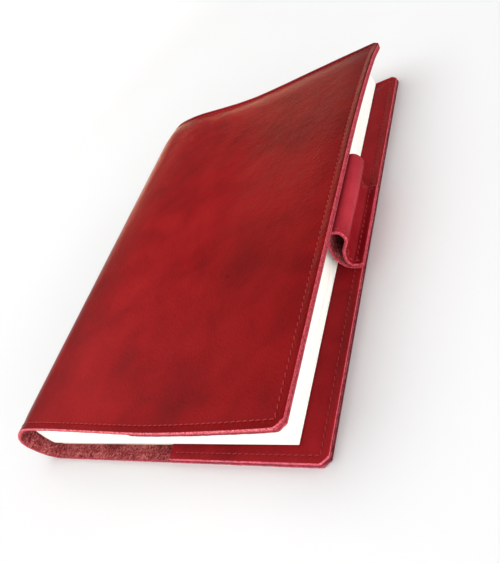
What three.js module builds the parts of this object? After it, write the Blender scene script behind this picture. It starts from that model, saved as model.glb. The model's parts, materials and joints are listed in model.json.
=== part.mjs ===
// Leather notebook cover with a sewn-in pen loop, holding an A5 notebook.
// Units are millimetres. +X runs from the spine to the fore-edge, +Y from the tail to the head, +Z up.
// The closed cover lies on its back panel. The group's origin is under the middle of its box.
//
// The design is written in book coordinates: x = 0 at the fore-edge of the pages (the spine is at
// negative x), y = 0 at their tail edge, z = 0 at the surface that the cover lies on.

import * as THREE from 'three';

// ---------------------------------------------------------------- driving dimensions

const leather = 1.6;            // thickness of the cover leather
const loopLeather = 1.2;        // thinner strip of the pen loop
const layerGap = 0.15;          // clearance between stacked sheets
const pageLength = 210;         // A5 page, tail to head
const pageWidth = 149.2;        // A5 page, spine to fore-edge
const pagesBottom = 4.2;        // underside of the lowest page
const pagesTop = 23.5;          // top of the uppermost page
const cardThickness = 0.4;      // the notebook's own card cover
const tailOverhang = 6.3;       // leather past the pages at the tail
const headOverhang = 2.7;       // leather past the pages at the head
const foreOverhang = 11.6;      // leather past the pages at the fore-edge
const pocketEdge = -64.5;       // inner edge of both pocket flaps
const cornerCut = 3.4;          // cut corners of the back cover and of the front cover's head
const frontTailCut = 6.5;       // larger cut corner, front cover, tail
const seamInset = 3.4;          // seam line, in from the cut edge
const threadWidth = 0.7;
const threadHeight = 0.14;
const bendRelief = 0.6;         // each leather strip stops this far short of its fold line
const loopTail = 77;            // pen loop, tail end
const loopHead = 123;           // pen loop, head end

// Fold lines of the leather at its mid-thickness, from the back cover round the spine to the front
// cover, as (x, z). Laid flat, all of them come down to half the leather's thickness.
const foldLines = [
  [-149.5, leather / 2],
  [-157.2, 9.6],
  [-153.4, 21.2],
  [-131.0, 33.4],
  [-66.0, 26.9],
].map(([x, z]) => new THREE.Vector2(x, z));
const frontTilt = THREE.MathUtils.degToRad(3.3);   // the front cover rises to the fore-edge

// ---------------------------------------------------------------- derived dimensions

const coverLength = tailOverhang + pageLength + headOverhang;
const coverTail = -tailOverhang;
const coverHead = pageLength + headOverhang;
const cardBottom = leather + layerGap;
const flapBottom = cardBottom + cardThickness + layerGap;
const flapTop = flapBottom + leather;
const pagesMiddle = (pagesBottom + pagesTop) / 2;
const frontHinge = foldLines[foldLines.length - 1];
const frontWidth = (foreOverhang - frontHinge.x) / Math.cos(frontTilt);

// ---------------------------------------------------------------- materials

function makeMaterial(color, roughness) {
  return new THREE.MeshStandardMaterial({ color, roughness, metalness: 0 });
}

const redLeather = makeMaterial(0x96262a, 0.45);
const darkLeather = makeMaterial(0x7e1c22, 0.5);
const loopRed = makeMaterial(0xb02a38, 0.42);
const threadRed = makeMaterial(0xc05050, 0.8);
const paper = makeMaterial(0xf4f1e6, 0.9);
const card = makeMaterial(0xe6dcc4, 0.8);

// ---------------------------------------------------------------- shape helpers

const book = new THREE.Group();

function addPiece(name, geometry, material, parent = book) {
  const mesh = new THREE.Mesh(geometry, material);
  mesh.name = name;
  parent.add(mesh);
  return mesh;
}

// A flat plate from an outline in x and y, standing on z = bottom.
function plate(outline, bottom, thickness) {
  const geometry = new THREE.ExtrudeGeometry(outline, { depth: thickness, bevelEnabled: false });
  geometry.translate(0, 0, bottom);
  return geometry;
}

// A bar with a section in x and z, running along y.
function bar(section, yStart, yEnd) {
  const geometry = new THREE.ExtrudeGeometry(section, {
    depth: yEnd - yStart,
    bevelEnabled: false,
    curveSegments: 6,
  });
  geometry.rotateX(Math.PI / 2);
  geometry.translate(0, yEnd, 0);
  return geometry;
}

function polygon(points) {
  return new THREE.Shape(points.map(([x, y]) => new THREE.Vector2(x, y)));
}

// A cover panel from x = inner to x = outer, with its two fore-edge corners cut off.
function panelOutline(inner, outer, tailCut, headCut) {
  return polygon([
    [inner, coverTail],
    [outer - tailCut, coverTail],
    [outer, coverTail + tailCut],
    [outer, coverHead - headCut],
    [outer - headCut, coverHead],
    [inner, coverHead],
  ]);
}

// The U-shaped seam round a pocket: along the tail, up the fore-edge and back along the head.
function seamOutline(inner, outer, tailCut, headCut) {
  const line = (inset) => {
    const turn = inset * (Math.SQRT2 - 1);        // keeps the cut corners parallel to the edge
    const x = outer - inset;
    return [
      [inner, coverTail + inset],
      [outer - tailCut - turn, coverTail + inset],
      [x, coverTail + tailCut + turn],
      [x, coverHead - headCut - turn],
      [outer - headCut - turn, coverHead - inset],
      [inner, coverHead - inset],
    ];
  };
  const outside = line(seamInset - threadWidth / 2);
  const inside = line(seamInset + threadWidth / 2);
  return polygon([...outside, ...inside.reverse()]);
}

// ---------------------------------------------------------------- back cover

addPiece(
  'back_outer_panel',
  plate(panelOutline(foldLines[0].x + bendRelief, foreOverhang, cornerCut, cornerCut), 0, leather),
  redLeather,
);
addPiece(
  'back_flap',
  plate(panelOutline(pocketEdge, foreOverhang, cornerCut, cornerCut), flapBottom, leather),
  darkLeather,
);
addPiece(
  'back_seam_thread',
  plate(seamOutline(pocketEdge + 1, foreOverhang, cornerCut, cornerCut), flapTop + 0.02, threadHeight),
  threadRed,
);

// ---------------------------------------------------------------- spine

// One flat strip of leather between two neighbouring fold lines.
function leatherStrip(name, from, to) {
  const along = new THREE.Vector2().subVectors(to, from);
  const width = along.length() - 2 * bendRelief;
  const strip = addPiece(name, new THREE.BoxGeometry(width, coverLength, leather), redLeather);
  const middle = new THREE.Vector2().addVectors(from, to).multiplyScalar(0.5);
  strip.position.set(middle.x, (coverTail + coverHead) / 2, middle.y);
  strip.rotation.y = -along.angle();
}

const stripNames = ['spine_strip_1', 'spine_strip_2', 'spine_strip_3', 'front_inner_strip'];
stripNames.forEach((name, i) => leatherStrip(name, foldLines[i], foldLines[i + 1]));

// ---------------------------------------------------------------- front cover

// Its own frame lies on the last fold line: x along the cover, z = 0 at the outer panel's middle.
const frontCover = new THREE.Group();
frontCover.position.set(frontHinge.x, 0, frontHinge.y);
frontCover.rotation.y = -frontTilt;
book.add(frontCover);

const pocketStart = pocketEdge - frontHinge.x;
const cardTop = -leather / 2 - layerGap;
const frontFlapTop = cardTop - cardThickness - layerGap;
const frontCardEnd = -frontHinge.x / Math.cos(frontTilt);

addPiece(
  'front_outer_panel',
  plate(panelOutline(bendRelief, frontWidth, frontTailCut, cornerCut), -leather / 2, leather),
  redLeather,
  frontCover,
);
addPiece(
  'front_flap',
  plate(panelOutline(pocketStart, frontWidth, frontTailCut, cornerCut), frontFlapTop - leather, leather),
  darkLeather,
  frontCover,
);
addPiece(
  'front_seam_thread',
  plate(seamOutline(pocketStart + 1, frontWidth, frontTailCut, cornerCut), leather / 2 + 0.02, threadHeight),
  threadRed,
  frontCover,
);

// ---------------------------------------------------------------- pen loop

const loopBaseInner = 5.2;
const loopBaseOuter = foreOverhang + 1;
const loopBaseTop = pagesBottom + 2;

addPiece(
  'pen_loop_base',
  plate(
    polygon([
      [loopBaseInner, loopTail],
      [loopBaseOuter, loopTail],
      [loopBaseOuter, loopHead],
      [loopBaseInner, loopHead],
    ]),
    pagesBottom,
    loopBaseTop - pagesBottom,
  ),
  loopRed,
);

// The tube is a closed band of leather: an upright teardrop with an S-bend in its outer wall.
const loopCentreLine = new THREE.CatmullRomCurve3(
  [
    [7.3, 7.5],
    [4.8, 9.4],
    [3.8, 13.0],
    [4.3, 18.6],
    [6.2, 23.2],
    [9.4, 25.6],
    [12.2, 24.4],
    [13.2, 21.6],
    [12.2, 18.4],
    [10.1, 15.2],
    [9.0, 11.8],
    [9.0, 9.0],
  ].map(([x, z]) => new THREE.Vector3(x, z, 0)),
  true,
  'centripetal',
);
const loopSteps = 36;

// The centre line moved sideways by a distance: positive is inwards, as the line runs clockwise.
function loopSide(offset) {
  const points = [];
  for (let i = 0; i < loopSteps; i += 1) {
    const t = i / loopSteps;
    const point = loopCentreLine.getPointAt(t);
    const tangent = loopCentreLine.getTangentAt(t);
    points.push(new THREE.Vector2(point.x + tangent.y * offset, point.y - tangent.x * offset));
  }
  return points;
}

const loopSection = new THREE.Shape(loopSide(-loopLeather / 2));
loopSection.holes.push(new THREE.Path(loopSide(loopLeather / 2).reverse()));
addPiece('pen_loop_tube', bar(loopSection, loopTail, loopHead), loopRed);

// Box of stitches that holds both ends of the loop strip down on the pocket flap.
function stitchFrame(x0, x1, y0, y1, width) {
  const frame = polygon([[x0, y0], [x1, y0], [x1, y1], [x0, y1]]);
  const inner = [
    [x0 + width, y0 + width],
    [x0 + width, y1 - width],
    [x1 - width, y1 - width],
    [x1 - width, y0 + width],
  ];
  frame.holes.push(new THREE.Path(inner.map(([x, y]) => new THREE.Vector2(x, y))));
  return frame;
}

addPiece(
  'pen_loop_thread',
  plate(
    stitchFrame(9.9, loopBaseOuter - 1, loopTail + 2, loopHead - 2, threadWidth),
    loopBaseTop + 0.02,
    threadHeight,
  ),
  threadRed,
);

// ---------------------------------------------------------------- notebook

function rectangle(x0, x1, y0, y1) {
  return polygon([[x0, y0], [x1, y0], [x1, y1], [x0, y1]]);
}

// Half of the page block. The spine side is a little rounded away from the block's middle.
function pageHalf(name, flat, outer) {
  const rounding = 2.5;
  const corners = [
    [-pageWidth, flat],
    [0, flat],
    [0, outer],
    [rounding - pageWidth, outer],
  ];
  const section = polygon(outer > flat ? corners : corners.reverse());
  addPiece(name, bar(section, 0, pageLength), paper);
}

pageHalf('pages_lower', pagesMiddle - 0.1, pagesBottom);
pageHalf('pages_upper', pagesMiddle + 0.1, pagesTop);

const cardTail = 0.8;
const cardHead = pageLength - 1.2;
const frontCardBottom = pagesBottom + pagesTop - cardBottom - cardThickness;

addPiece(
  'notebook_back_card',
  plate(rectangle(0.4 - pageWidth, 0, cardTail, cardHead), cardBottom, cardThickness),
  card,
);
addPiece(
  'notebook_front_card',
  plate(rectangle(-142, frontHinge.x - 1.5, cardTail, cardHead), frontCardBottom, cardThickness),
  card,
);
addPiece(
  'notebook_front_card_tucked_end',
  plate(rectangle(pocketStart + 0.5, frontCardEnd, cardTail, cardHead), cardTop - cardThickness, cardThickness),
  card,
  frontCover,
);

// ---------------------------------------------------------------- place the origin

book.updateMatrixWorld(true);
const bounds = new THREE.Box3().setFromObject(book, true);
const centre = bounds.getCenter(new THREE.Vector3());
book.position.set(-centre.x, -centre.y, -bounds.min.z);

const notebookCover = new THREE.Group();
notebookCover.add(book);
export default notebookCover;
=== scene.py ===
"""Visual model of a red leather notebook cover with a sewn-in pen loop, holding an A5 notebook.

Shapes are worked out in book millimetres: x = 0 at the fore-edge of the pages (the spine is at negative x),
y = 0 at their tail edge, z = 0 on the table. metres() moves them into the CAD frame.
"""

import json
import math

import bpy
import numpy as np
from mathutils import Matrix, Vector


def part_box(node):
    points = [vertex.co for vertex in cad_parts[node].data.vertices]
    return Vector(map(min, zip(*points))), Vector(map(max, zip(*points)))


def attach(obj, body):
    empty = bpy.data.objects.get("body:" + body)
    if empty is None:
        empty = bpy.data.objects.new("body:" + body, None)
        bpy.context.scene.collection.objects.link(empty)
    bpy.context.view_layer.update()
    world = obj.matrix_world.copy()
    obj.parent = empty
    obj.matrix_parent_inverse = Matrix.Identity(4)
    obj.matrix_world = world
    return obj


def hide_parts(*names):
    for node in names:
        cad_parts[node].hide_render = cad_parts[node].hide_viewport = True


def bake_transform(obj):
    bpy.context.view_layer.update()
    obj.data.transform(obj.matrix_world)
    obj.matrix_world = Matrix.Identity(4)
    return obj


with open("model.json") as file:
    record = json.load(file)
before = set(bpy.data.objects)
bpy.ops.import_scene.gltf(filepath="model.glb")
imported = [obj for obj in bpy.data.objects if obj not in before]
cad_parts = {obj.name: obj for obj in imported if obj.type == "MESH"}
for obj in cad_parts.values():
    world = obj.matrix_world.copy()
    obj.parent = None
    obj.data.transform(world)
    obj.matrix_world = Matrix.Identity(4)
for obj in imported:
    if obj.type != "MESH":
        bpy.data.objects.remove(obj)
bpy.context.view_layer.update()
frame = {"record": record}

# ------------------------------------------------------------------ sizes, in book millimetres

page_low, page_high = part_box("pages_lower")
BOOK_ORIGIN = np.array([page_high.x, page_low.y, 0.0])


def book(point):
    """A point of the CAD frame, in metres, as book millimetres."""
    return (np.array(point) - BOOK_ORIGIN) * 1000.0


def metres(points):
    return np.asarray(points) * 0.001 + BOOK_ORIGIN


panel_low, panel_high = (book(corner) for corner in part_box("back_outer_panel"))
loop_low, loop_high = (book(corner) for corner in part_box("pen_loop_tube"))
FORE = panel_high[0]  # fore-edge of the cover
TAIL = panel_low[1]
HEAD = panel_high[1]
LEATHER = panel_high[2]  # thickness of the cover leather
POCKET = book(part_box("back_flap")[0])[0]  # inner edge of both pocket flaps
EDGE_ROUND = 0.38  # rounding of the cut edges on the grain side
FLESH_ROUND = 0.12  # and on the flesh side
SEAM_INSET = 3.4  # seam line, in from the cut edge
GROOVE_DEPTH = 0.16
GROOVE_WIDTH = 0.5
SEAM_PULL = 0.26  # the seam pulls the leather beside it down this far
PULL_START = 0.5  # from here on, in from the cut edge,
PULL_REACH = 8.0  # to this far past the seam
PITCH = 2.8  # distance between needle holes
CORNER_CUT = 2.9
CORNER_SOFT = 0.3  # how rounded the ends of a cut corner are
FRONT_TAIL_SOFT = 0.8
HINGES = {j["name"]: book(j["pos_m"]) for j in frame["record"]["behaviour"]["joints"]}

random = np.random.default_rng(11)


def smooth(t):
    t = np.clip(t, 0.0, 1.0)
    return t * t * (3.0 - 2.0 * t)


def curve_through(points, steps=16):
    """A smooth curve through the points, as a dense row of points: a Catmull-Rom spline."""
    p = np.array(points, float)
    p = np.vstack([2 * p[0] - p[1], p, 2 * p[-1] - p[-2]])
    t = np.linspace(0.0, 1.0, steps, endpoint=False)[:, None]
    spans = []
    for a, b, c, d in zip(p, p[1:], p[2:], p[3:]):
        spans.append(
            0.5 * (2 * b + (c - a) * t + (2 * a - 5 * b + 4 * c - d) * t**2 + (3 * b - a - 3 * c + d) * t**3)
        )
    return np.vstack(spans + [p[-2][None, :]])


def lengths_along(line):
    return np.concatenate([[0.0], np.cumsum(np.linalg.norm(np.diff(line, axis=0), axis=1))])


# ------------------------------------------------------------------ the wrap: one sheet round the notebook

# Outer face of the leather in section, as (x, z): flat back panel, then round the spine.
BACK_SECTION = [(FORE, 0.0), (FORE - 50, 0.0), (-95.0, 0.0), (-128.0, 0.0), (-140.0, 0.0)]
SPINE_SECTION = [
    (-146.5, 0.35), (-151.8, 2.2), (-155.7, 6.1), (-157.4, 11.0), (-156.9, 15.0),
    (-155.0, 18.7), (-151.8, 22.2), (-147.3, 25.7), (-142.4, 28.7), (-136.4, 31.8), (-130.0, 33.7),
]
# Outer face of the front panel at the tail edge and at the head edge, where it sags.
FRONT_TAIL = [
    (-120.0, 33.9), (-108.0, 33.3), (-95.0, 32.1), (-83.0, 30.9), (-70.0, 29.7), (-58.0, 28.7),
    (-45.0, 28.5), (-24.0, 29.2), (0.0, 30.7), (FORE, 31.7),
]
FRONT_HEAD = [
    (-120.0, 33.2), (-108.0, 32.1), (-95.0, 30.2), (-83.0, 28.5), (-70.0, 27.3), (-58.0, 27.0),
    (-45.0, 26.9), (-24.0, 26.9), (0.0, 26.7), (FORE, 26.5),
]
SAG_START = 112.0  # the front panel starts to sag here, on its way to the head edge
SAG_POWER = 2.5
SAG_LIMIT = 1.05  # a little past the head edge, where slopes are still measured
ROLL_DROP = 0.8  # the panel steps down by this much on its way to the seam at the head
ROLL_REACH = 13.0
SPINE_SINK = 1.9  # the shoulder between spine and front is lower at the head, over SINK_REACH
SINK_REACH = 21.0
SINK_HALF_WIDTH = 17.0
SINK_BEFORE = 12.0  # it is deepest this far before the section's highest point

tail_section = curve_through(BACK_SECTION + SPINE_SECTION + FRONT_TAIL)
head_section = curve_through(BACK_SECTION + SPINE_SECTION + FRONT_HEAD)
wrap_u = lengths_along(tail_section)
WRAP_LENGTH = float(wrap_u[-1])
FRONT_START = float(wrap_u[int(np.argmax(tail_section[:, 1]))])  # where the front panel leaves the spine


def sag(y):
    """How far the front panel follows its head profile at y: 0 up to SAG_START, 1 at the head edge."""
    return np.clip((y - SAG_START) / (HEAD - SAG_START), 0.0, SAG_LIMIT) ** SAG_POWER


def wrap_surface(u, y):
    """Outer face of the wrap. u runs along the leather from the back fore-edge round to the front one."""
    u, y = np.broadcast_arrays(np.asarray(u, float), np.asarray(y, float))
    share = sag(y)
    beyond = np.maximum(u - WRAP_LENGTH, 0.0) + np.maximum(-u, 0.0)
    x, z = (
        (1 - share) * np.interp(u, wrap_u, tail) + share * np.interp(u, wrap_u, head)
        for tail, head in zip(tail_section.T, head_section.T)
    )
    roll = ROLL_DROP * (1.0 - smooth((HEAD - SEAM_INSET - y) / ROLL_REACH))
    z = z - roll * smooth((u - FRONT_START) / (2 * ROLL_REACH))
    sink = SPINE_SINK * np.clip(1.0 - (HEAD - y) / SINK_REACH, 0.0, 1.0) ** 2
    z = z - sink * np.exp(-(((u - FRONT_START + SINK_BEFORE) / SINK_HALF_WIDTH) ** 2))
    return np.stack([x + beyond, y, np.maximum(z, 0.0)], axis=-1)


def normal_of(surface, u, y, step=0.06):
    along = surface(u + step, y) - surface(u - step, y)
    across = surface(u, y + step) - surface(u, y - step)
    n = np.cross(along, across)
    return n / np.linalg.norm(n, axis=-1, keepdims=True)


def wrap_at(x, front):
    """Place along the wrap, u, where its front or back panel has this x."""
    middle = wrap_u[int(np.argmin(tail_section[:, 0]))]
    inside = wrap_u > middle if front else wrap_u < middle
    order = np.argsort(tail_section[inside, 0])
    return float(np.interp(x, tail_section[inside, 0][order], wrap_u[inside][order]))


def nearest_u(point):
    """Place along the wrap that is nearest to a point of the section, given as (x, y, z)."""
    gap = np.linalg.norm(tail_section - np.array([point[0], point[2]]), axis=1)
    return float(wrap_u[int(np.argmin(gap))])


def corner_rise(distance, soft=CORNER_SOFT):
    """How far a cut corner moves the tail or head edge in, at a distance from the fore-edge."""
    t = CORNER_CUT - distance
    return 0.5 * (t + np.sqrt(t * t + soft * soft))


def wrap_outline(u):
    """The wrap's tail and head edge at u, as (low y, high y)."""
    u = np.asarray(u, float)
    back = np.maximum(u, 0.0)
    front = np.maximum(WRAP_LENGTH - u, 0.0)
    low = TAIL + corner_rise(back) + corner_rise(front, FRONT_TAIL_SOFT)
    high = HEAD - corner_rise(back) - corner_rise(front)
    return low, high


def seam_distance(u, y):
    """Distance from the nearest straight edge of the wrap."""
    return np.min(np.broadcast_arrays(y - TAIL, HEAD - y, u, WRAP_LENGTH - u), axis=0)


def groove(distance):
    """The thread pulls the leather down along its line, and a little on both sides of it."""
    line = GROOVE_DEPTH * np.exp(-(((distance - SEAM_INSET) / GROOVE_WIDTH) ** 2))
    inner = 1.0 - smooth((distance - SEAM_INSET) / PULL_REACH)
    outer = smooth((distance - PULL_START) / (SEAM_INSET - PULL_START))
    return line + SEAM_PULL * inner * outer


# ------------------------------------------------------------------ mesh helpers


def make_piece(name, vertices, faces, materials, indices=None, attribute=None, values=None,
               smooth_faces=True):
    mesh = bpy.data.meshes.new(name)
    mesh.from_pydata([tuple(v) for v in metres(vertices)], [], faces)
    for material in materials:
        mesh.materials.append(material)
    if indices is not None:
        mesh.polygons.foreach_set("material_index", np.asarray(indices, np.int32))
    mesh.polygons.foreach_set("use_smooth", np.full(len(faces), smooth_faces))
    if attribute:
        layer = mesh.attributes.new(attribute, "FLOAT_VECTOR", "POINT")
        layer.data.foreach_set("vector", np.asarray(values, np.float32).ravel())
    mesh.validate()
    mesh.update()
    piece = bpy.data.objects.new(name, mesh)
    bpy.context.collection.objects.link(piece)
    return piece


def edge_rows(thickness, grain_round, flesh_round):
    """Half turn of a cut edge, from the grain face to the flesh face, as (inset, depth)."""
    turn = np.radians([30.0, 60.0, 90.0])
    upper = [(grain_round * (1 - math.sin(a)), grain_round * (1 - math.cos(a))) for a in turn]
    lower = [(flesh_round * (1 - math.sin(a)), flesh_round * (1 - math.cos(a))) for a in reversed(turn)]
    return upper + [(0.0, thickness / 2)] + [(inset, thickness - rise) for inset, rise in lower]


# Rows and stations near a cut edge, closest at the seam, and stations near a split.
NEAR_EDGE = [EDGE_ROUND, 0.9, 1.5, 2.2, 2.7, 3.0, 3.2, 3.4, 3.6, 3.8, 4.1, 4.6, 5.6, 7.5]
AT_EDGE = [0.0, 0.05, 0.15, 0.3]
NEAR_SPLIT = [0.0, 0.2, 0.4, 0.7, 1.1]
MIDDLE_GAP = 2.5  # from the last of the rows near an edge to the middle rows
FLESH_FRAY = 0.6  # the flesh side is this much as rough as the cut edges


def row_layout(thickness, middle_rows, rounds):
    """Rows round a sheet in section: each y is a * low + b * high + c, at a depth, with its material."""
    reach = NEAR_EDGE[-1] + MIDDLE_GAP
    rows = [(1.0, 0.0, offset) for offset in NEAR_EDGE]
    for t in np.linspace(0.0, 1.0, middle_rows):
        rows.append((1.0 - t, t, reach * (1.0 - 2.0 * t)))
    rows += [(0.0, 1.0, -offset) for offset in reversed(NEAR_EDGE)]
    side = edge_rows(thickness, *rounds)
    layout = [(a, b, c, 0.0, 0) for a, b, c in rows]
    layout += [(0.0, 1.0, -inset, depth, 1) for inset, depth in side]
    layout += [(a, b, c, thickness, 2) for a, b, c in reversed(rows)]
    layout += [(1.0, 0.0, inset, depth, 1) for inset, depth in reversed(side)]
    return np.array(layout), len(rows), len(side)


def sheet(name, stations, outline, surface, materials, thickness=LEATHER, dent=None, free=(True, True),
          middle_rows=40, fray=0.05, rounds=(EDGE_ROUND, FLESH_ROUND)):
    """A sheet of leather with rounded, slightly frayed cut edges.

    stations are places u along the sheet, outline(u) gives its two side edges, surface(u, y) its grain face,
    and dent(u, y) how far that face is pressed in. Materials are grain, cut edge and flesh side. free says
    whether the first and the last station are cut edges, which get rounded, or meet the next piece.
    """
    layout, row_count, side_count = row_layout(thickness, middle_rows, rounds)
    stations = np.asarray(stations, float)
    count = len(layout)
    low, high = outline(stations)
    y = layout[:, 0] * low[:, None] + layout[:, 1] * high[:, None] + layout[:, 2]
    u = np.repeat(stations[:, None], count, axis=1)
    depth = np.repeat(layout[None, :, 3], len(stations), axis=0)
    from_end = np.full(len(stations), np.inf)
    if free[0]:
        from_end = np.minimum(from_end, stations - stations[0])
    if free[1]:
        from_end = np.minimum(from_end, stations[-1] - stations)
    end_insets = []
    for radius in rounds:
        short = np.clip(radius - from_end, 0.0, radius)
        end_insets.append(radius - np.sqrt(radius**2 - short**2))
    grain_inset, flesh_inset = (inset[:, None] for inset in end_insets)
    depth = grain_inset + depth * (thickness - grain_inset - flesh_inset) / thickness
    if dent is not None:
        depth = depth + dent(u, y) * (layout[:, 4] == 0)
    normal = normal_of(surface, u, y)
    points = surface(u, y) - normal * depth[..., None]
    rough = random.normal(0.0, fray, depth.shape)
    points[..., 1] += rough * (layout[:, 4] == 1)
    points += normal * (FLESH_FRAY * rough * (layout[:, 4] == 2))[..., None]
    faces = []
    indices = []
    for i in range(len(stations) - 1):
        for k in range(count):
            k2 = (k + 1) % count
            faces.append((i * count + k, (i + 1) * count + k, (i + 1) * count + k2, i * count + k2))
            same = layout[k, 4] == layout[k2, 4]
            indices.append(int(layout[k, 4]) if same else 1)
    opposite = row_count + side_count
    for end, sign in ((0, 1), (len(stations) - 1, -1)):
        base = end * count
        caps = []
        for k in range(row_count - 1):
            across = opposite + row_count - 1 - k
            caps.append((base + k, base + k + 1, base + across - 1, base + across))
        head_rows = [base + k for k in range(row_count - 1, opposite + 1)]
        tail_rows = [base + k % count for k in range(opposite + row_count - 1, count + 1)]
        caps += [tuple(head_rows), tuple(tail_rows)]
        faces += [face if sign > 0 else tuple(reversed(face)) for face in caps]
        indices += [1] * len(caps)
    values = np.stack([u, y, depth], axis=-1).reshape(-1, 3)
    piece = make_piece(name, points.reshape(-1, 3), faces, materials, indices, "sheet", values)
    for end, is_free in zip((0, len(stations) - 1), free):
        if not is_free:
            sharpen_ring(piece.data, end * count, count)
    return piece


def sharpen_ring(mesh, first, count):
    """Keeps the closed end of a piece from bending the shading of its sides."""
    last = first + count
    for edge in mesh.edges:
        a, b = edge.vertices
        if first <= a < last and first <= b < last:
            edge.use_edge_sharp = True


def stations_between(start, end, step, fine=()):
    """Places from start to end about one step apart, with closer ones at the named free or split ends."""
    places = list(np.linspace(start, end, max(2, int(round((end - start) / step)) + 1)))
    for side, kind in fine:
        offsets = AT_EDGE + NEAR_EDGE if kind == "free" else NEAR_SPLIT
        at = start if side == "start" else end
        sign = 1.0 if side == "start" else -1.0
        places = [p for p in places if abs(p - at) > offsets[-1] + AT_EDGE[-1]]
        places += [at + sign * offset for offset in offsets]
    return np.array(sorted(set(round(p, 4) for p in places)))


# ------------------------------------------------------------------ section of the pen loop

LOOP_LEATHER = 1.3
LOOP_TAIL = loop_low[1]
LOOP_HEAD = loop_high[1]
# Outer face of the folded strip in section, as (x, z): lower sewn end, up the wall, over, S-bend, upper end.
LOOP_SECTION = [
    (12.7, 3.3), (10.4, 3.3), (7.9, 3.75), (5.4, 5.4), (3.7, 8.6), (3.2, 12.6), (3.7, 17.4), (5.3, 22.4),
    (7.9, 25.8), (10.6, 26.7), (13.0, 25.4), (14.1, 22.6), (13.7, 19.9), (12.1, 17.6), (10.2, 15.2),
    (8.9, 12.4), (8.25, 9.8), (8.2, 8.0), (8.8, 6.6), (10.1, 6.0), (11.4, 5.93), (12.9, 5.9),
]
loop_line = curve_through(LOOP_SECTION)
loop_u = lengths_along(loop_line)
LOOP_LENGTH = float(loop_u[-1])
LOOP_BULGE = float(loop_u[int(np.argmax(loop_line[:, 0]))]) / LOOP_LENGTH  # where the tube stands out most

# ------------------------------------------------------------------ materials


class Nodes:
    """Adds nodes to a node tree. Each input is a plain value or another node's output."""

    def __init__(self, tree):
        self.tree = tree

    def feed(self, socket, value):
        if isinstance(value, bpy.types.NodeSocket):
            self.tree.links.new(value, socket)
        else:
            socket.default_value = value

    def node(self, kind, inputs=(), **settings):
        made = self.tree.nodes.new(kind)
        for key, value in settings.items():
            setattr(made, key, value)
        for key, value in dict(inputs).items():
            self.feed(made.inputs[key], value)
        return made

    def math(self, operation, *values):
        return self.node("ShaderNodeMath", dict(enumerate(values)), operation=operation).outputs[0]


class Look(Nodes):
    """A node material being built round one Principled shader."""

    def __init__(self, name):
        self.material = bpy.data.materials.new(name)
        self.material.use_nodes = True
        super().__init__(self.material.node_tree)
        self.surface = self.tree.nodes["Principled BSDF"]

    def place(self, attribute=None, scale=(1.0, 1.0, 1.0)):
        if attribute:
            source = self.node("ShaderNodeAttribute", attribute_name=attribute).outputs["Vector"]
        else:
            source = self.node("ShaderNodeTexCoord").outputs["Object"]
        return self.node("ShaderNodeMapping", {"Vector": source, "Scale": scale}).outputs["Vector"]

    def axis(self, letter):
        """X along a sheet, Y across it or Z below its grain face, in millimetres."""
        return self.node("ShaderNodeSeparateXYZ", {"Vector": self.place("sheet")}).outputs[letter]

    def from_sides(self):
        """Distance from the cover's tail or head edge, whichever is nearer."""
        y = self.axis("Y")
        return self.math("MINIMUM", self.math("SUBTRACT", y, TAIL), self.math("SUBTRACT", HEAD, y))

    def noise(self, vector, scale, detail=4.0, roughness=0.6, distortion=0.0):
        inputs = {"Vector": vector, "Scale": scale, "Detail": detail, "Roughness": roughness,
                  "Distortion": distortion}
        return self.node("ShaderNodeTexNoise", inputs).outputs["Fac"]

    def cells(self, vector, scale, feature="F1"):
        inputs = {"Vector": vector, "Scale": scale}
        return self.node("ShaderNodeTexVoronoi", inputs, feature=feature).outputs["Distance"]

    def ramp(self, factor, stops):
        made = self.node("ShaderNodeValToRGB", {"Fac": factor})
        elements = made.color_ramp.elements
        while len(elements) < len(stops):
            elements.new(0.5)
        for element, (position, colour) in zip(elements, stops):
            element.position = position
            element.color = (*colour, 1.0)
        return made.outputs["Color"]

    def mix(self, factor, a, b, blend="MIX"):
        made = self.node("ShaderNodeMix", {0: factor, 6: a, 7: b}, data_type="RGBA", blend_type=blend)
        return made.outputs[2]

    def tint(self, colour, by, share=1.0):
        return self.mix(share, colour, by, "MULTIPLY")

    def bump(self, height, strength, distance, before=None):
        inputs = {"Height": height, "Strength": strength, "Distance": distance}
        if before is not None:
            inputs["Normal"] = before
        return self.node("ShaderNodeBump", inputs).outputs["Normal"]

    def finish(self, colour, roughness, normal=None, **others):
        inputs = {"Base Color": colour, "Roughness": roughness}
        if normal is not None:
            inputs["Normal"] = normal
        for key, value in others.items():
            inputs[key.replace("_", " ")] = value
        for key, value in inputs.items():
            self.feed(self.surface.inputs[key], value)
        return self.material


WHITE = (1.0, 1.0, 1.0)
BLACK = (0.0, 0.0, 0.0)
SHADED_END_REACH = 4.0  # painted shade darkens the back fore-edge's cut edge over this length, in millimetres
TABLE_NEAR, TABLE_FAR = 2.0, 10.0  # metres from the notebook over which the table's look changes


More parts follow.
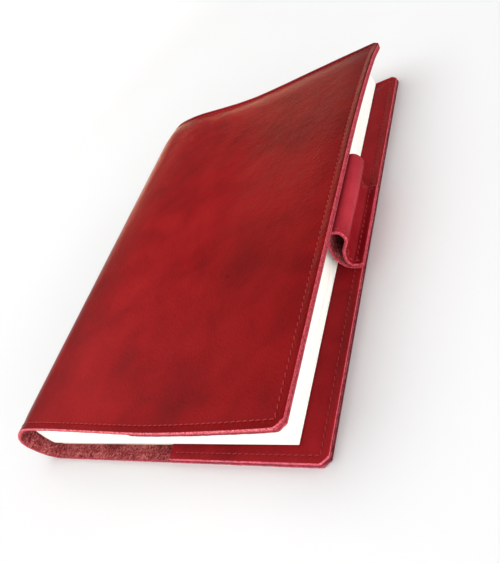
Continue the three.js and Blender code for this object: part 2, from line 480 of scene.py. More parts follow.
def wrap_shading(look, colour):
    """Darkens the border outside the seam, and paints light and shade: darker on the back and spine, lightest
    just past the spine, darker again towards the front's head and fore-edge.
    """
    along = look.axis("X")
    ends = look.math("MINIMUM", along, look.math("SUBTRACT", WRAP_LENGTH, along))
    edge = look.math("MINIMUM", look.from_sides(), ends)
    border = look.ramp(look.math("DIVIDE", edge, SEAM_INSET), [(0.1, (0.74, 0.6, 0.6)), (0.95, WHITE)])
    over_front = look.math("DIVIDE", look.math("SUBTRACT", along, FRONT_START), WRAP_LENGTH - FRONT_START)
    towards_corner = look.math("MULTIPLY", over_front, look.math("DIVIDE", look.axis("Y"), HEAD))
    # painted shade: the front gets darker towards its head and fore-edge corner, away from the light
    painted_corner_shade = look.ramp(towards_corner, [(0.3, WHITE), (0.85, (0.64, 0.66, 0.66))])
    # painted light and shade: darker on the back and spine, lightest just past the spine, a little darker
    # towards the fore-edge
    painted_light_from_spine = look.ramp(over_front, [(0.0, (0.83, 0.83, 0.83)), (0.14, WHITE), (0.7, (0.88, 0.92, 0.92))])
    for shade in (border, painted_corner_shade, painted_light_from_spine):
        colour = look.tint(colour, shade)
    return colour


def painted_foot_shade(look, colour):
    """Paints shade on the pen loop's strip: from just past the tube's bulge, down the wall under it and
    across the foot that lies flat on the flap.
    """
    stops = [(LOOP_BULGE + 0.02, WHITE), (0.85, (0.72, 0.42, 0.44)), (1.0, (0.55, 0.28, 0.3))]
    return look.tint(colour, look.ramp(look.math("DIVIDE", look.axis("X"), LOOP_LENGTH), stops))


def grain_leather(name, deep, middle, bright, shading=None):
    """Oiled pull-up leather: cloudy colour, fine pebbled grain, a few scuffs."""
    look = Look(name)
    at = look.place("sheet")
    cloud = look.noise(at, 0.022, 2.0, 0.5, 0.3)
    patch = look.noise(at, 0.07, 4.0, 0.55, 0.3)
    colour = look.ramp(look.mix(0.4, cloud, patch), [(0.34, deep), (0.5, middle), (0.68, bright)])
    speck = look.ramp(look.noise(at, 1.7, 4.0, 0.72), [(0.4, (0.86, 0.84, 0.84)), (0.6, WHITE)])
    colour = look.tint(colour, speck)
    streaks = look.noise(look.place("sheet", (0.22, 0.5, 0.0)), 1.0, 6.0, 0.78, 1.2)
    scuff = look.ramp(streaks, [(0.6, BLACK), (0.74, (0.3, 0.3, 0.3))])
    colour = look.mix(scuff, colour, (*deep, 1.0))
    pores = look.ramp(look.cells(at, 0.5), [(0.02, (0.55, 0.5, 0.5)), (0.09, WHITE)])
    colour = look.tint(colour, pores, 0.6)
    if shading:
        colour = shading(look, colour)
    normal = look.bump(look.noise(at, 0.12, 2.0, 0.5), 0.2, 0.0012)
    normal = look.bump(look.cells(at, 1.15, "SMOOTH_F1"), 0.4, 0.0003, normal)
    normal = look.bump(look.noise(at, 4.0, 4.0, 0.65), 0.2, 0.00014, normal)
    gloss = look.math("MULTIPLY_ADD", patch, 0.2, 0.22)
    return look.finish(colour, gloss, normal, Specular_IOR_Level=0.035)


def cut_edge(name, pale, middle, dark, lower_tint=(0.7, 0.55, 0.6), shaded_end=False, pale_tail=False):
    """Raw cut edge: pink fibres in layers, darker by lower_tint near the flesh side, partly the lower fibres'
    own colour and partly painted shade.

    shaded_end paints shade on it at the sheet's first end, pale_tail makes it paler along the cover's tail
    edge."""
    look = Look(name)
    layers = look.noise(look.place("sheet", (0.8, 0.8, 2.2)), 1.0, 5.0, 0.7, 0.5)
    fibres = look.noise(look.place("sheet", (1.3, 1.3, 1.9)), 1.0, 6.0, 0.8)
    colour = look.ramp(look.mix(0.6, layers, fibres), [(0.4, dark), (0.49, middle), (0.58, pale)])
    depth = look.math("DIVIDE", look.axis("Z"), LEATHER)
    # darker towards the flesh side: partly the fibres' own colour, partly painted shade
    colour = look.tint(colour, look.ramp(depth, [(0.35, WHITE), (0.65, lower_tint)]))
    if shaded_end:
        # painted shade: the back panel's fore-edge, the lower layer, lies in shadow
        along = look.math("DIVIDE", look.axis("X"), SHADED_END_REACH)
        colour = look.tint(colour, look.ramp(along, [(0.1, (0.3, 0.2, 0.26)), (0.8, WHITE)]))
    if pale_tail:
        from_tail = look.math("SUBTRACT", look.axis("Y"), TAIL)
        colour = look.tint(colour, look.ramp(from_tail, [(0.3, (1.3, 1.9, 1.65)), (0.9, WHITE)]))
    return look.finish(colour, 0.85, look.bump(fibres, 0.8, 0.0004), Specular_IOR_Level=0.1)


def flesh_side(name, pale, middle, dark):
    """Suede-like inner face: short fibres with dark pits, and a broken dark line along the seam."""
    look = Look(name)
    at = look.place("sheet")
    nap = look.noise(at, 0.95, 7.0, 0.78, 0.3)
    shade = look.noise(at, 0.09, 3.0, 0.6)
    colour = look.ramp(look.mix(0.25, nap, shade), [(0.41, dark), (0.5, middle), (0.59, pale)])
    pits = look.ramp(look.cells(at, 0.75), [(0.05, (0.25, 0.22, 0.22)), (0.3, WHITE)])
    colour = look.tint(colour, pits, 0.65)
    off_seam = look.math("ABSOLUTE", look.math("SUBTRACT", look.from_sides(), SEAM_INSET))
    broken = look.math("ADD", look.math("MULTIPLY", off_seam, 0.9), look.noise(at, 0.55, 2.0, 0.5))
    seam = look.ramp(broken, [(0.42, (0.12, 0.06, 0.07)), (0.62, WHITE)])
    colour = look.tint(colour, seam, 0.85)
    return look.finish(colour, 0.92, look.bump(nap, 0.9, 0.0006), Specular_IOR_Level=0.08)


def sewing_thread(name, pale, dark):
    """Waxed thread of twisted strands. Its attribute runs along and round the thread."""
    look = Look(name)
    inputs = {"Vector": look.place("strand"), "Scale": 1.0, "Distortion": 0.4, "Detail": 2.0}
    wave = look.node("ShaderNodeTexWave", inputs, wave_type="BANDS", bands_direction="DIAGONAL")
    twist = wave.outputs["Fac"]
    colour = look.ramp(twist, [(0.2, dark), (0.65, pale)])
    return look.finish(colour, 0.55, look.bump(twist, 0.4, 0.0001), Specular_IOR_Level=0.2)


def needle_hole(name, colour):
    look = Look(name)
    edge = tuple(2.0 * c for c in colour)
    shade = look.ramp(look.noise(look.place("strand"), 3.0), [(0.3, colour), (0.7, edge)])
    return look.finish(shade, 0.9, Specular_IOR_Level=0.05)


def paper(name, face, edge):
    """Uncoated writing paper. Its cut edges show the leaves as fine lines."""
    look = Look(name)
    leaves = look.noise(look.place(None, (25.0, 25.0, 6500.0)), 1.0, 3.0, 0.6)
    tone = look.noise(look.place(None, (60.0, 60.0, 900.0)), 1.0, 3.0, 0.6)
    colour = look.ramp(look.mix(0.45, leaves, tone), [(0.32, edge), (0.55, face)])
    return look.finish(colour, 0.85, look.bump(leaves, 0.3, 0.0001), Specular_IOR_Level=0.25)


def cover_card(name, pale, dark):
    look = Look(name)
    flecks = look.noise(look.place(None, (900.0, 900.0, 900.0)), 1.0, 5.0, 0.7)
    colour = look.ramp(flecks, [(0.35, dark), (0.6, pale)])
    return look.finish(colour, 0.8, look.bump(flecks, 0.2, 0.00008), Specular_IOR_Level=0.25)


def table_top(name, colour, far_colour):
    """Plain white table. Far away it is paler and glows a little as painted light, to stay white up to the
    horizon.
    """
    look = Look(name)
    cloud = look.noise(look.place(None, (4.0, 4.0, 4.0)), 1.0, 3.0, 0.5)
    shade = look.ramp(cloud, [(0.3, tuple(0.985 * c for c in colour)), (0.7, colour)])
    away = look.node("ShaderNodeVectorMath", {0: look.place()}, operation="LENGTH").outputs["Value"]
    far = look.ramp(look.math("DIVIDE", away, TABLE_NEAR), [(0.2, BLACK), (0.6, WHITE)])
    # painted light: from one to two metres out the table starts to glow
    horizon = look.ramp(look.math("DIVIDE", away, TABLE_FAR), [(0.1, BLACK), (0.2, (0.2, 0.2, 0.2))])
    colour = look.mix(far, shade, (*far_colour, 1.0))
    return look.finish(colour, 0.75, Specular_IOR_Level=0.2, Emission_Color=horizon, Emission_Strength=1.0)


GRAIN = grain_leather(
    "red_leather_grain", (0.182, 0.002, 0.003), (0.258, 0.0035, 0.005), (0.316, 0.0065, 0.008), wrap_shading)
FLAP_GRAIN = grain_leather(
    "dark_leather_grain", (0.195, 0.0065, 0.0085), (0.275, 0.0105, 0.0135), (0.345, 0.0135, 0.018))
LOOP_GRAIN = grain_leather(
    "loop_leather_grain", (0.26, 0.013, 0.02), (0.36, 0.022, 0.034), (0.45, 0.038, 0.055), painted_foot_shade)
CUT = cut_edge(
    "leather_cut_edge", (0.78, 0.14, 0.18), (0.5, 0.05, 0.075), (0.16, 0.008, 0.014), pale_tail=True)
# darker copy for the front flap's edge, the lower layer at the front: partly its own darker fibres, partly
# painted shade
INNER_CUT = cut_edge("leather_cut_edge_inner", (0.62, 0.12, 0.15), (0.34, 0.035, 0.05), (0.1, 0.006, 0.01))
# the back flap's edge: paler on top, partly painted light from above, and much darker near the flesh side,
# partly its own fibres and partly painted shade
RIM_CUT = cut_edge(
    "leather_cut_edge_rim", (0.85, 0.2, 0.26), (0.62, 0.1, 0.14), (0.3, 0.02, 0.035),
    lower_tint=(0.3, 0.18, 0.22))
# the back panel's cut edge, with painted shade at its fore-edge end
SHADED_END_CUT = cut_edge(
    "leather_cut_edge_shaded_end", (0.8, 0.2, 0.25), (0.45, 0.055, 0.075), (0.14, 0.007, 0.012), shaded_end=True)
FLESH = flesh_side("leather_flesh_side", (0.66, 0.2, 0.19), (0.34, 0.055, 0.058), (0.09, 0.008, 0.011))
THREAD = sewing_thread("red_thread", (0.42, 0.038, 0.046), (0.2, 0.011, 0.015))
HOLE = needle_hole("needle_hole_shadow", (0.02, 0.001, 0.002))
PAPER = paper("page_paper", (0.93, 0.925, 0.87), (0.86, 0.855, 0.8))
CARD = cover_card("cream_card", (0.82, 0.76, 0.62), (0.68, 0.6, 0.46))
TABLE = table_top("white_table", (0.75, 0.75, 0.75), (0.98, 0.98, 0.98))

# ------------------------------------------------------------------ wrap pieces, split in mid-strip

INNER_SPLIT_X = -98.0  # where the front skin passes from the spine side to the pocket side
FLAT_BEFORE_SPINE = 8.5  # the back panel starts to bend this far before its fold line
FRONT_BEND_REACH = 16.0  # the front bend ends this far past its fold line
BEND_REACH = 10.0  # half-length of the bend at the pocket's mouth

FOLDS = [HINGES[name] for name in ("spine_fold_1", "spine_fold_2", "spine_fold_3", "spine_fold_4")]
POCKET_FOLD = HINGES["pocket_edge_fold"]
STRIP_MIDDLES = [(a + b) / 2 for a, b in zip(FOLDS, FOLDS[1:])]


def bend_point(place, shift=0.0):
    """A place in section, halfway up the cover, moved by shift towards the fore-edge, in the CAD frame."""
    return Vector(metres((place[0] + shift, (TAIL + HEAD) / 2, place[2])))


splits = [0.0, *(nearest_u(middle) for middle in STRIP_MIDDLES), wrap_at(INNER_SPLIT_X, True), WRAP_LENGTH]
strip_bends = [bend_point(middle) for middle in STRIP_MIDDLES]
# Each piece of the wrap: its name, the two bodies it joins, where its bend starts and ends, what it replaces.
WRAP_PIECES = [
    ("back_cover_skin", "back_cover", "spine_1", bend_point(FOLDS[0], FLAT_BEFORE_SPINE), strip_bends[0],
     ["back_outer_panel", "spine_strip_1"]),
    ("spine_skin_lower", "spine_1", "spine_2", strip_bends[0], strip_bends[1], ["spine_strip_2"]),
    ("spine_skin_upper", "spine_2", "spine_3", strip_bends[1], strip_bends[2], ["spine_strip_3"]),
    ("front_inner_skin", "spine_3", "front_inner", strip_bends[2], bend_point(FOLDS[3], FRONT_BEND_REACH),
     ["front_inner_strip"]),
    ("front_cover_skin", "front_inner", "front_cover", bend_point(POCKET_FOLD, -BEND_REACH),
     bend_point(POCKET_FOLD, BEND_REACH), ["front_outer_panel"]),
]


def wrap_dent(u, y):
    return groove(seam_distance(u, y))


SPINE_STEP = 1.0  # distance between stations on the two spine skins, and on the others
FLAT_STEP = 1.5

for i, (name, body_a, body_b, bend_start, bend_end, nodes) in enumerate(WRAP_PIECES):
    starts_free = i == 0
    ends_free = i == len(WRAP_PIECES) - 1
    places = stations_between(
        splits[i], splits[i + 1], SPINE_STEP if name.startswith("spine") else FLAT_STEP,
        [("start", "free" if starts_free else "split"), ("end", "free" if ends_free else "split")],
    )
    skin = sheet(
        name, places, wrap_outline, wrap_surface, [GRAIN, SHADED_END_CUT if starts_free else CUT, FLESH],
        dent=wrap_dent, free=(starts_free, ends_free), middle_rows=46,
    )
    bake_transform(skin)
    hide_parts(*nodes)

# ------------------------------------------------------------------ pocket flaps

CARD_ROOM = 0.62  # the card cover keeps the pocket's two layers this far apart
SEAM_ROOM = 0.02
ROOM_START = 0.8  # they start to part this far inside the seam
ROOM_REACH = 7.0
MOUTH_ROUND = 1.1  # rounded corners at the mouth of the pocket
FLAP_SHORT = 0.12  # the flap's cut edge stands back a hair from the panel's
FLAP_STEP = 2.2
back_mouth = wrap_at(POCKET, False)
front_mouth = wrap_at(POCKET, True)


def pocket_room(distance):
    """Gap between a pocket's two layers at a distance from the cut edge."""
    inside = (distance - SEAM_INSET - ROOM_START) / ROOM_REACH
    return SEAM_ROOM + (CARD_ROOM - SEAM_ROOM) * smooth(inside)


def on_back_flap(at, y):
    """Grain face of the back flap, facing up, over the place at along the wrap."""
    lift = 2 * LEATHER + pocket_room(seam_distance(at, y))
    return wrap_surface(at, y) + np.stack([0 * lift, 0 * lift, lift], axis=-1)


def on_front_flap(at, y):
    """Grain face of the front flap, facing down, under the place at along the wrap."""
    drop = 2 * LEATHER + pocket_room(seam_distance(at, y))
    return wrap_surface(at, y) - normal_of(wrap_surface, at, y) * drop[..., None]


def pocket_flap(node, body, face, wrap_place, mouth, length, cut):
    """A flap of the given length. wrap_place(u) is the place along the wrap of the flap's own u."""

    def surface(u, y):
        return face(wrap_place(u), y)

    def outline(u):
        """The wrap's outline, with the two corners at the pocket's mouth rounded off."""
        at = wrap_place(u)
        low, high = wrap_outline(at)
        t = np.clip(MOUTH_ROUND - np.abs(at - mouth), 0.0, MOUTH_ROUND)
        rise = MOUTH_ROUND - np.sqrt(MOUTH_ROUND**2 - t**2)
        return low + FLAP_SHORT + rise, high - FLAP_SHORT - rise

    flap = sheet(
        node + "_leather", stations_between(0.0, length, FLAP_STEP, [("start", "free"), ("end", "free")]),
        outline, surface, [FLAP_GRAIN, cut, FLESH],
        dent=lambda u, y: groove(seam_distance(wrap_place(u), y)),
    )
    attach(flap, body)
    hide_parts(node)


front_rim = WRAP_LENGTH - FLAP_SHORT
pocket_flap("back_flap", "back_cover", on_back_flap, lambda u: back_mouth - u, back_mouth,
            back_mouth - FLAP_SHORT, RIM_CUT)
pocket_flap("front_flap", "front_cover", on_front_flap, lambda u: front_rim - u, front_mouth,
            front_rim - front_mouth, INNER_CUT)

# ------------------------------------------------------------------ stitches

THREAD_HALF = 0.22  # half-width of the thread
THREAD_FLAT = 0.8  # its height as a share of its width
STITCH_SIDES = 8
# Each stitch is a tube of five rings: where they lie between its two holes, as shares of the way, and
# their height over the thread's seat, half-width and shift sideways.
STITCH_SHARE = np.array([0.1, 0.24, 0.5, 0.76, 0.9])
STITCH_RISE = np.array([-0.5, -0.02, 0.1, -0.02, -0.5])
STITCH_WIDTH = THREAD_HALF * np.array([0.7, 1.0, 1.05, 1.0, 0.7])
STITCH_SLANT = np.array([-0.2, -0.12, 0.0, 0.12, 0.2])
# Each needle hole is a small cup of three rings, as (radius, height over the seat): foot, rim and bottom.
HOLE_HALF = 0.36
HOLE_RINGS = [(HOLE_HALF, -0.44), (HOLE_HALF, -0.14), (0.6 * HOLE_HALF, -0.26)]


class Parts:
    """Vertices, faces, material indices and attribute values of one mesh, gathered part by part."""

    def __init__(self):
        self.vertices, self.faces, self.indices, self.values = [], [], [], []

    def add(self, vertices, faces, index, values):
        base = len(self.vertices)
        self.vertices += vertices
        self.faces += [tuple(base + k for k in face) for face in faces]
        self.indices += [index] * len(faces)
        self.values += values


def closed_tube(rings, sides):
    """Faces between neighbouring rings of points, counted ring by ring, and the tube's two ends."""
    faces = []
    for row in range(0, (rings - 1) * sides, sides):
        above = row + sides
        for k in range(sides):
            after = (k + 1) % sides
            faces.append((row + k, row + after, above + after, above + k))
    faces.append(tuple(reversed(range(sides))))
    faces.append(tuple(range((rings - 1) * sides, rings * sides)))
    return faces


def resample(path, pitch):
    """Points one pitch apart along a path in (u, y), or as near to it as fits."""
    line = np.array(path, float)
    reach = lengths_along(line)
    count = max(1, int(round(reach[-1] / pitch)))
    at = np.linspace(0.0, reach[-1], count + 1)
    return np.stack([np.interp(at, reach, line[:, k]) for k in range(2)], axis=1)


def add_stitches(parts, holes, surface, seat, side=1.0):
    """Adds the threads between neighbouring holes, and the holes themselves.

    seat is the height of the thread's bed over the surface. side is -1 where the face looks the other way,
    as on the flaps and on the wrap's inner face."""
    around = np.linspace(0.0, 2 * math.pi, STITCH_SIDES, endpoint=False)
    thread_faces = closed_tube(len(STITCH_SHARE), STITCH_SIDES)
    hole_faces = closed_tube(len(HOLE_RINGS), STITCH_SIDES)
    for a, b in zip(holes, holes[1:]):
        path = a + (b - a) * STITCH_SHARE[:, None]
        centre = surface(path[:, 0], path[:, 1])
        normal = normal_of(surface, path[:, 0], path[:, 1]) * side
        length = np.linalg.norm(centre[-1] - centre[0])
        across = np.cross(normal, (centre[-1] - centre[0]) / length)
        vertices, values = [], []
        for ring, share in enumerate(STITCH_SHARE):
            for angle in around:
                sideways = STITCH_WIDTH[ring] * math.cos(angle) + STITCH_SLANT[ring]
                height = seat + STITCH_RISE[ring] + THREAD_FLAT * STITCH_WIDTH[ring] * math.sin(angle)
                vertices.append(centre[ring] + across[ring] * sideways + normal[ring] * height)
                values.append((share * length, angle / 2.0, 0.0))
        parts.add(vertices, thread_faces, 0, values)
    for u, y in holes:
        centre = surface(u, y)
        normal = normal_of(surface, u, y) * side
        first = surface(u + HOLE_HALF, y) - centre
        first = first / np.linalg.norm(first)
        second = np.cross(normal, first)
        vertices, values = [], []
        for radius, height in HOLE_RINGS:
            for angle in around:
                offset = radius * (first * math.cos(angle) + second * math.sin(angle))
                vertices.append(centre + offset + normal * (seat + height))
                values.append((radius, angle, seat + height))
        parts.add(vertices, hole_faces, 1, values)


def stitches(name, parts):
    looks = [THREAD, HOLE]
    return make_piece(name, parts.vertices, parts.faces, looks, parts.indices, "strand", parts.values)


def perimeter():
    """Needle holes round the whole wrap as (u, y), from the back fore-edge's tail corner on."""
    left, right = SEAM_INSET, WRAP_LENGTH - SEAM_INSET
    low, high = TAIL + SEAM_INSET, HEAD - SEAM_INSET
    corners = [(left, low), (right, low), (right, high), (left, high), (left, low)]
    return np.vstack([resample(pair, PITCH)[:-1] for pair in zip(corners, corners[1:])])


seam_holes = perimeter()
GROOVE_BED = -GROOVE_DEPTH - SEAM_PULL
THREAD_LIFT = 0.16
OUTER_SEAT = GROOVE_BED + THREAD_LIFT  # bed of the threads on the grain face
UNDER_SEAT = GROOVE_BED + 0.1  # sunk, so that the cover lies flat on its back panel
FLESH_SEAT = 0.12
MOUTH_CLEAR = PITCH / 2 + 0.8  # a flap's last stitch has its middle this far from the pocket's mouth


def runs_within(holes, low, high):
    """Rows of neighbouring holes of a closed seam whose stitches lie between two places along the wrap."""
    middle = (holes[:, 0] + np.roll(holes[:, 0], -1)) / 2
    keep = (middle >= low) & (middle < high)
    runs, current = [], []
    for i, kept in enumerate(keep):
        if kept:
            if not current:
                current = [i]
            current.append((i + 1) % len(holes))
        elif current:
            runs.append(current)
            current = []
    if current:
        runs.append(current)
    return [holes[run] for run in runs]


def inner_face(u, y):
    return wrap_surface(u, y) - normal_of(wrap_surface, u, y) * LEATHER


STITCHED_NODES = {"back_cover_skin": ["back_seam_thread"], "front_cover_skin": ["front_seam_thread"]}
flat_end = wrap_at(FOLDS[0][0] + FLAT_BEFORE_SPINE, False)
for i, (name, body_a, body_b, bend_start, bend_end, nodes) in enumerate(WRAP_PIECES):
    first, last = splits[i], splits[i + 1]
    stretches = [(first, last, wrap_surface, OUTER_SEAT, 1.0)]
    if i == 0:
        stretches = [
            (first, flat_end, wrap_surface, UNDER_SEAT, 1.0), (flat_end, last, wrap_surface, OUTER_SEAT, 1.0)]
    stretches.append((max(first, back_mouth), min(last, front_mouth), inner_face, FLESH_SEAT, -1.0))
    parts = Parts()
    for low, high, face, seat, side in stretches:
        for run in runs_within(seam_holes, low, high):
            add_stitches(parts, run, face, seat, side)
    piece = stitches(name.replace("skin", "stitches"), parts)
    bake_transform(piece)
    if name in STITCHED_NODES:
        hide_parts(*STITCHED_NODES[name])

for name, body, low, high, face in (
    ("back_flap_stitches", "back_cover", 0.0, back_mouth - MOUTH_CLEAR, on_back_flap),
    ("front_flap_stitches", "front_cover", front_mouth + MOUTH_CLEAR, WRAP_LENGTH, on_front_flap),
):
    parts = Parts()
    for run in runs_within(seam_holes, low, high):
        add_stitches(parts, run, face, OUTER_SEAT, -1.0)
    piece = stitches(name, parts)
    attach(piece, body)

# ------------------------------------------------------------------ pen loop

LOOP_SEAM = 2.0  # seam line, in from the strip's sides
LOOP_PITCH = 2.9
LOOP_STEP = 0.8
LOOP_GROOVE = 0.6 * GROOVE_DEPTH
LOOP_SEAT = -LOOP_GROOVE + THREAD_LIFT
WALL_FROM, WALL_TO = 8.0, 20.0  # the tube's wall waves a little, and fully so above WALL_TO
WALL_WAVE = 0.35


def loop_surface(u, y):
    """Outer face of the folded strip. u runs along the strip from its lower sewn end to its upper one."""
    u, y = np.broadcast_arrays(np.asarray(u, float), np.asarray(y, float))
    x = np.interp(u, loop_u, loop_line[:, 0])
    z = np.interp(u, loop_u, loop_line[:, 1])
    towards_head = (y - LOOP_TAIL) / (LOOP_HEAD - LOOP_TAIL)
    open_share = smooth((z - WALL_FROM) / (WALL_TO - WALL_FROM))
    x = x + open_share * WALL_WAVE * np.sin(towards_head * 3.0)
    x = x + np.maximum(u - LOOP_LENGTH, 0.0) - np.minimum(u, 0.0)
    return np.stack([x, y, z], axis=-1)


def loop_outline(u):
    return np.full_like(u, LOOP_TAIL), np.full_like(u, LOOP_HEAD)


def loop_dent(u, y):
    sides = np.minimum(y - LOOP_TAIL, LOOP_HEAD - y)
    return LOOP_GROOVE * np.exp(-(((sides - LOOP_SEAM) / GROOVE_WIDTH) ** 2))


pen_loop = sheet(
    "pen_loop_strip", stations_between(0.0, LOOP_LENGTH, LOOP_STEP, [("start", "free"), ("end", "free")]),
    loop_outline, loop_surface, [LOOP_GRAIN, CUT, FLESH], thickness=LOOP_LEATHER, dent=loop_dent,
    middle_rows=12, fray=0.035,
)
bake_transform(pen_loop)
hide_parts("pen_loop_base", "pen_loop_tube")

# Stitch rows along both sides of the strip from the top of its wall, across its foot, and a short tack.
tail_seam, head_seam = LOOP_TAIL + LOOP_SEAM, LOOP_HEAD - LOOP_SEAM
row_start = float(loop_u[int(np.argmax(loop_line[:, 1]))]) - 3.0
row_end = LOOP_LENGTH - 1.0
foot_row = LOOP_LENGTH - 2.9
tack_row = foot_row - 5.6
loop_rows = [
    [(row_start, tail_seam), (row_end, tail_seam)],
    [(row_start, head_seam), (row_end, head_seam)],
    [(foot_row, tail_seam), (foot_row, head_seam)],
    [(tack_row, tail_seam + 0.2), (tack_row, tail_seam + 3.0)],
]
loop_parts = Parts()
for row in loop_rows:
    add_stitches(loop_parts, resample(row, LOOP_PITCH), loop_surface, LOOP_SEAT)
pen_loop_stitches = stitches("pen_loop_stitches", loop_parts)
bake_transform(pen_loop_stitches)
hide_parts("pen_loop_thread")

# ------------------------------------------------------------------ notebook

LEAVES_PER_HALF = 26
LEAF_GROOVE = 0.07
LEAF_ROUND = 0.12
LEAF_SCATTER = 0.07  # how far the leaves are out of line with each other
PAGE_SHORT_FORE = 0.15
PAGE_SHORT_SIDE = 0.1
PAGE_STEPS = (12, 16, 12, 16)  # points along a leaf's tail, fore-edge, head and spine side
SPINE_EDGE_Z = [3.0, 6.7, 11.0, 16.9, 23.5]  # the block's spine side is a little rounded
SPINE_EDGE_X = [-149.2, -150.0, -149.6, -147.6, -144.6]
PRESS_START, PRESS_REACH = -120.0, 110.0  # the sagging cover presses the block down from here, over this far
PAGE_PRESS = 3.4  # the top leaf goes down this far at the head corner of the fore-edge
CARD_PRESS = 2.2  # and the card on top of it this far


def pressed(x, y):
    """Share of the full press that a place on the block gets."""
    return sag(y) * smooth((x - PRESS_START) / PRESS_REACH)


def page_half(name, node, body, press=0.0):
    """A half of the page block as a stack of leaves that don't quite line up."""
    low, high = (book(corner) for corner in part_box(node))
    heights = np.linspace(low[2], high[2], LEAVES_PER_HALF + 1)
    vertices = []
    for bottom, top in zip(heights, heights[1:]):
        fore, tail, head, spine = random.normal(0.0, LEAF_SCATTER, 4)
        lower = [(bottom, LEAF_GROOVE), (bottom + LEAF_ROUND, 0.0)]
        upper = [(top - LEAF_ROUND, 0.0), (top, LEAF_GROOVE)]
        for z, inset in lower + upper:
            x0 = np.interp(z, SPINE_EDGE_Z, SPINE_EDGE_X) + spine + inset
            x1 = high[0] - PAGE_SHORT_FORE + fore - inset
            y0 = low[1] + PAGE_SHORT_SIDE + tail + inset
            y1 = high[1] - PAGE_SHORT_SIDE + head - inset
            corners = np.array([(x0, y0, z), (x1, y0, z), (x1, y1, z), (x0, y1, z)])
            for a, b, steps in zip(corners, np.roll(corners, -1, axis=0), PAGE_STEPS):
                vertices += [a + (b - a) * t for t in np.linspace(0.0, 1.0, steps, endpoint=False)]
    vertices = np.array(vertices)
    height = (vertices[:, 2] - low[2]) / (high[2] - low[2])
    vertices[:, 2] -= press * height * pressed(vertices[:, 0], vertices[:, 1])
    faces = closed_tube(4 * LEAVES_PER_HALF, sum(PAGE_STEPS))
    piece = make_piece(name, vertices, faces, [PAPER], smooth_faces=False)
    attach(piece, body)
    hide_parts(node)


page_half("page_leaves_lower", "pages_lower", "back_cover")
page_half("page_leaves_upper", "pages_upper", "upper_pages", press=PAGE_PRESS)

CARD_THICK = 0.4
CARD_STEP = 4.0
CARD_ROUNDS = (0.12, 0.12)
CARD_CORNER = 4.0
FRONT_CARD_CORNER = 0.3
FRONT_CARD_SHORT = 24.0  # the front card stops this much short of its CAD solid at the spine
CARD_DROP = 1.75  # and lies this far under that solid's top, close over the pages
TUCKED_UNDER = 0.1  # the tucked end lies this far under the panel's flesh side
TUCKED_SHORT = 0.5
card_low, card_high = (book(corner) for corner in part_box("notebook_back_card"))
front_card_low, front_card_high = (book(corner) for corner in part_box("notebook_front_card"))
tucked_low, tucked_high = (book(corner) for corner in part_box("notebook_front_card_tucked_end"))


def rounded_card(length, corner):
    """Tail and head edge of a card whose far corners are rounded."""
    def outline(u):
        t = np.clip(corner - (length - u), 0.0, corner)
        rise = corner - np.sqrt(corner**2 - t**2)
        return card_low[1] + rise, card_high[1] - rise
    return outline


def back_card_surface(u, y):
    """The card's lower face, lying on the back panel. u runs from the spine to the fore-edge."""
    u, y = np.broadcast_arrays(np.asarray(u, float), np.asarray(y, float))
    return np.stack([card_low[0] + u, y, np.full_like(u, card_high[2])], axis=-1)


def front_card_surface(u, y):
    """The card's upper face, close over the pages, clear of the front skin also when the book lies open."""
    u, y = np.broadcast_arrays(np.asarray(u, float), np.asarray(y, float))
    x = front_card_low[0] + FRONT_CARD_SHORT + u
    return np.stack([x, y, front_card_high[2] - CARD_DROP - CARD_PRESS * pressed(x, y)], axis=-1)


def tucked_card_surface(u, y):
    """The card's upper face inside the front pocket."""
    at = tucked_start + u
    return wrap_surface(at, y) - normal_of(wrap_surface, at, y) * (LEATHER + TUCKED_UNDER)


tucked_start = wrap_at(tucked_low[0], True)
front_card_length = front_card_high[0] - front_card_low[0] - FRONT_CARD_SHORT
tucked_length = wrap_at(tucked_high[0] - TUCKED_SHORT, True) - tucked_start
for name, node, body, length, corner, surface in (
    ("back_card", "notebook_back_card", "back_cover", card_high[0] - card_low[0], CARD_CORNER,
     back_card_surface),
    ("front_card", "notebook_front_card", "upper_pages", front_card_length, FRONT_CARD_CORNER,
     front_card_surface),
    ("front_card_tucked_end", "notebook_front_card_tucked_end", "front_cover", tucked_length, CARD_CORNER,
     tucked_card_surface),
):
    piece = sheet(name, stations_between(0.0, length, CARD_STEP), rounded_card(length, corner), surface,
                  [CARD, CARD, CARD], thickness=CARD_THICK, middle_rows=24, fray=0.0, rounds=CARD_ROUNDS)
    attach(piece, body)
    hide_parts(node)

# ------------------------------------------------------------------ table, light and camera

TABLE_HALF = 12.0
TABLE_GAP = 0.0001  # keeps the table's face from touching the leather's
bpy.ops.mesh.primitive_grid_add(
    x_subdivisions=4, y_subdivisions=4, size=2 * TABLE_HALF, location=(0, 0, -TABLE_GAP))
table = bpy.context.object
table.name = "table"
table.data.materials.append(TABLE)

SKY = (0.81, 0.815, 0.815)
# Glows near the horizon, as direction, spread, height and colour. The second darkens the sky over the first.
GLOWS = [
    ((-0.66, 0.75, 0.06), 0.92, 0.13, (10.8, 6.5, 3.9)),
    ((-0.66, 0.75, 0.25), 0.5, 0.8, (-0.5, -0.52, -0.52)),
    ((0.95, -0.3, 0.1), 0.1, 0.34, (2.5, 2.6, 2.6)),
]
world = bpy.data.worlds.new("soft_daylight")
bpy.context.scene.world = world
world.use_nodes = True
sky = Nodes(world.node_tree)


def fade(value, start, end):
    """0 at start, 1 at end, smooth between."""
    inputs = {"Value": value, "From Min": start, "From Max": end}
    return sky.node("ShaderNodeMapRange", inputs, interpolation_type="SMOOTHSTEP").outputs["Result"]


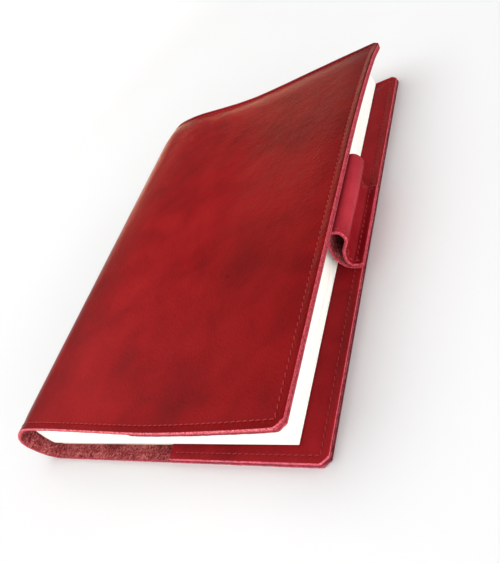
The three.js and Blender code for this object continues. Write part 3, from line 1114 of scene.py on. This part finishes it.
def sky_glow(direction, spread, height, gain):
    """A colour that is gain near the horizon in one direction and falls to black away from it."""
    ray = sky.node("ShaderNodeTexCoord").outputs["Generated"]
    towards = {0: ray, 1: Vector(direction).normalized()}
    facing = sky.node("ShaderNodeVectorMath", towards, operation="DOT_PRODUCT").outputs["Value"]
    rising = sky.node("ShaderNodeSeparateXYZ", {0: ray}).outputs["Z"]
    share = sky.math("MULTIPLY", fade(facing, spread, 1.0), fade(rising, height, 0.5 * height))
    return sky.node("ShaderNodeVectorMath", {0: gain, "Scale": share}, operation="SCALE").outputs[0]


sky_colour = SKY
for glow in GLOWS:
    sum_inputs = {0: sky_glow(*glow), 1: sky_colour}
    sky_colour = sky.node("ShaderNodeVectorMath", sum_inputs, operation="ADD").outputs[0]
sky.feed(world.node_tree.nodes["Background"].inputs["Color"], sky_colour)


def area_light(name, location, size, power):
    """A soft panel, width by height, that lights the notebook but isn't seen itself."""
    light = bpy.data.lights.new(name, "AREA")
    light.shape = "RECTANGLE"
    light.size, light.size_y = size
    light.energy = power
    holder = bpy.data.objects.new(name, light)
    holder.location = location
    holder.rotation_euler = (-Vector(location)).to_track_quat("-Z", "Y").to_euler()
    holder.visible_camera = False
    bpy.context.collection.objects.link(holder)


area_light("window", (-0.7, -0.1, 1.4), (1.9, 1.7), 17.0)
area_light("room_fill", (0.85, -0.95, 0.22), (1.5, 0.4), 7.5)

CAMERA_AT = Vector((0.1841, -0.1681, 0.1582))
CAMERA_TOWARDS = Vector((-0.60283, 0.55101, -0.57705))
CAMERA_ROLL = math.radians(44.59)
CAMERA_LENS = 35.36  # millimetres, for a 36 mm sensor along the picture's long side

camera = bpy.data.objects.new("camera", bpy.data.cameras.new("camera"))
camera.data.lens = CAMERA_LENS
camera.data.sensor_width = 36.0
camera.data.clip_start = 0.01
level = CAMERA_TOWARDS.to_track_quat("-Z", "Y").to_matrix().to_4x4()
camera.matrix_world = Matrix.Translation(CAMERA_AT) @ level @ Matrix.Rotation(-CAMERA_ROLL, 4, "Z")
bpy.context.collection.objects.link(camera)
bpy.context.scene.camera = camera
bpy.context.scene.view_settings.view_transform = "Standard"
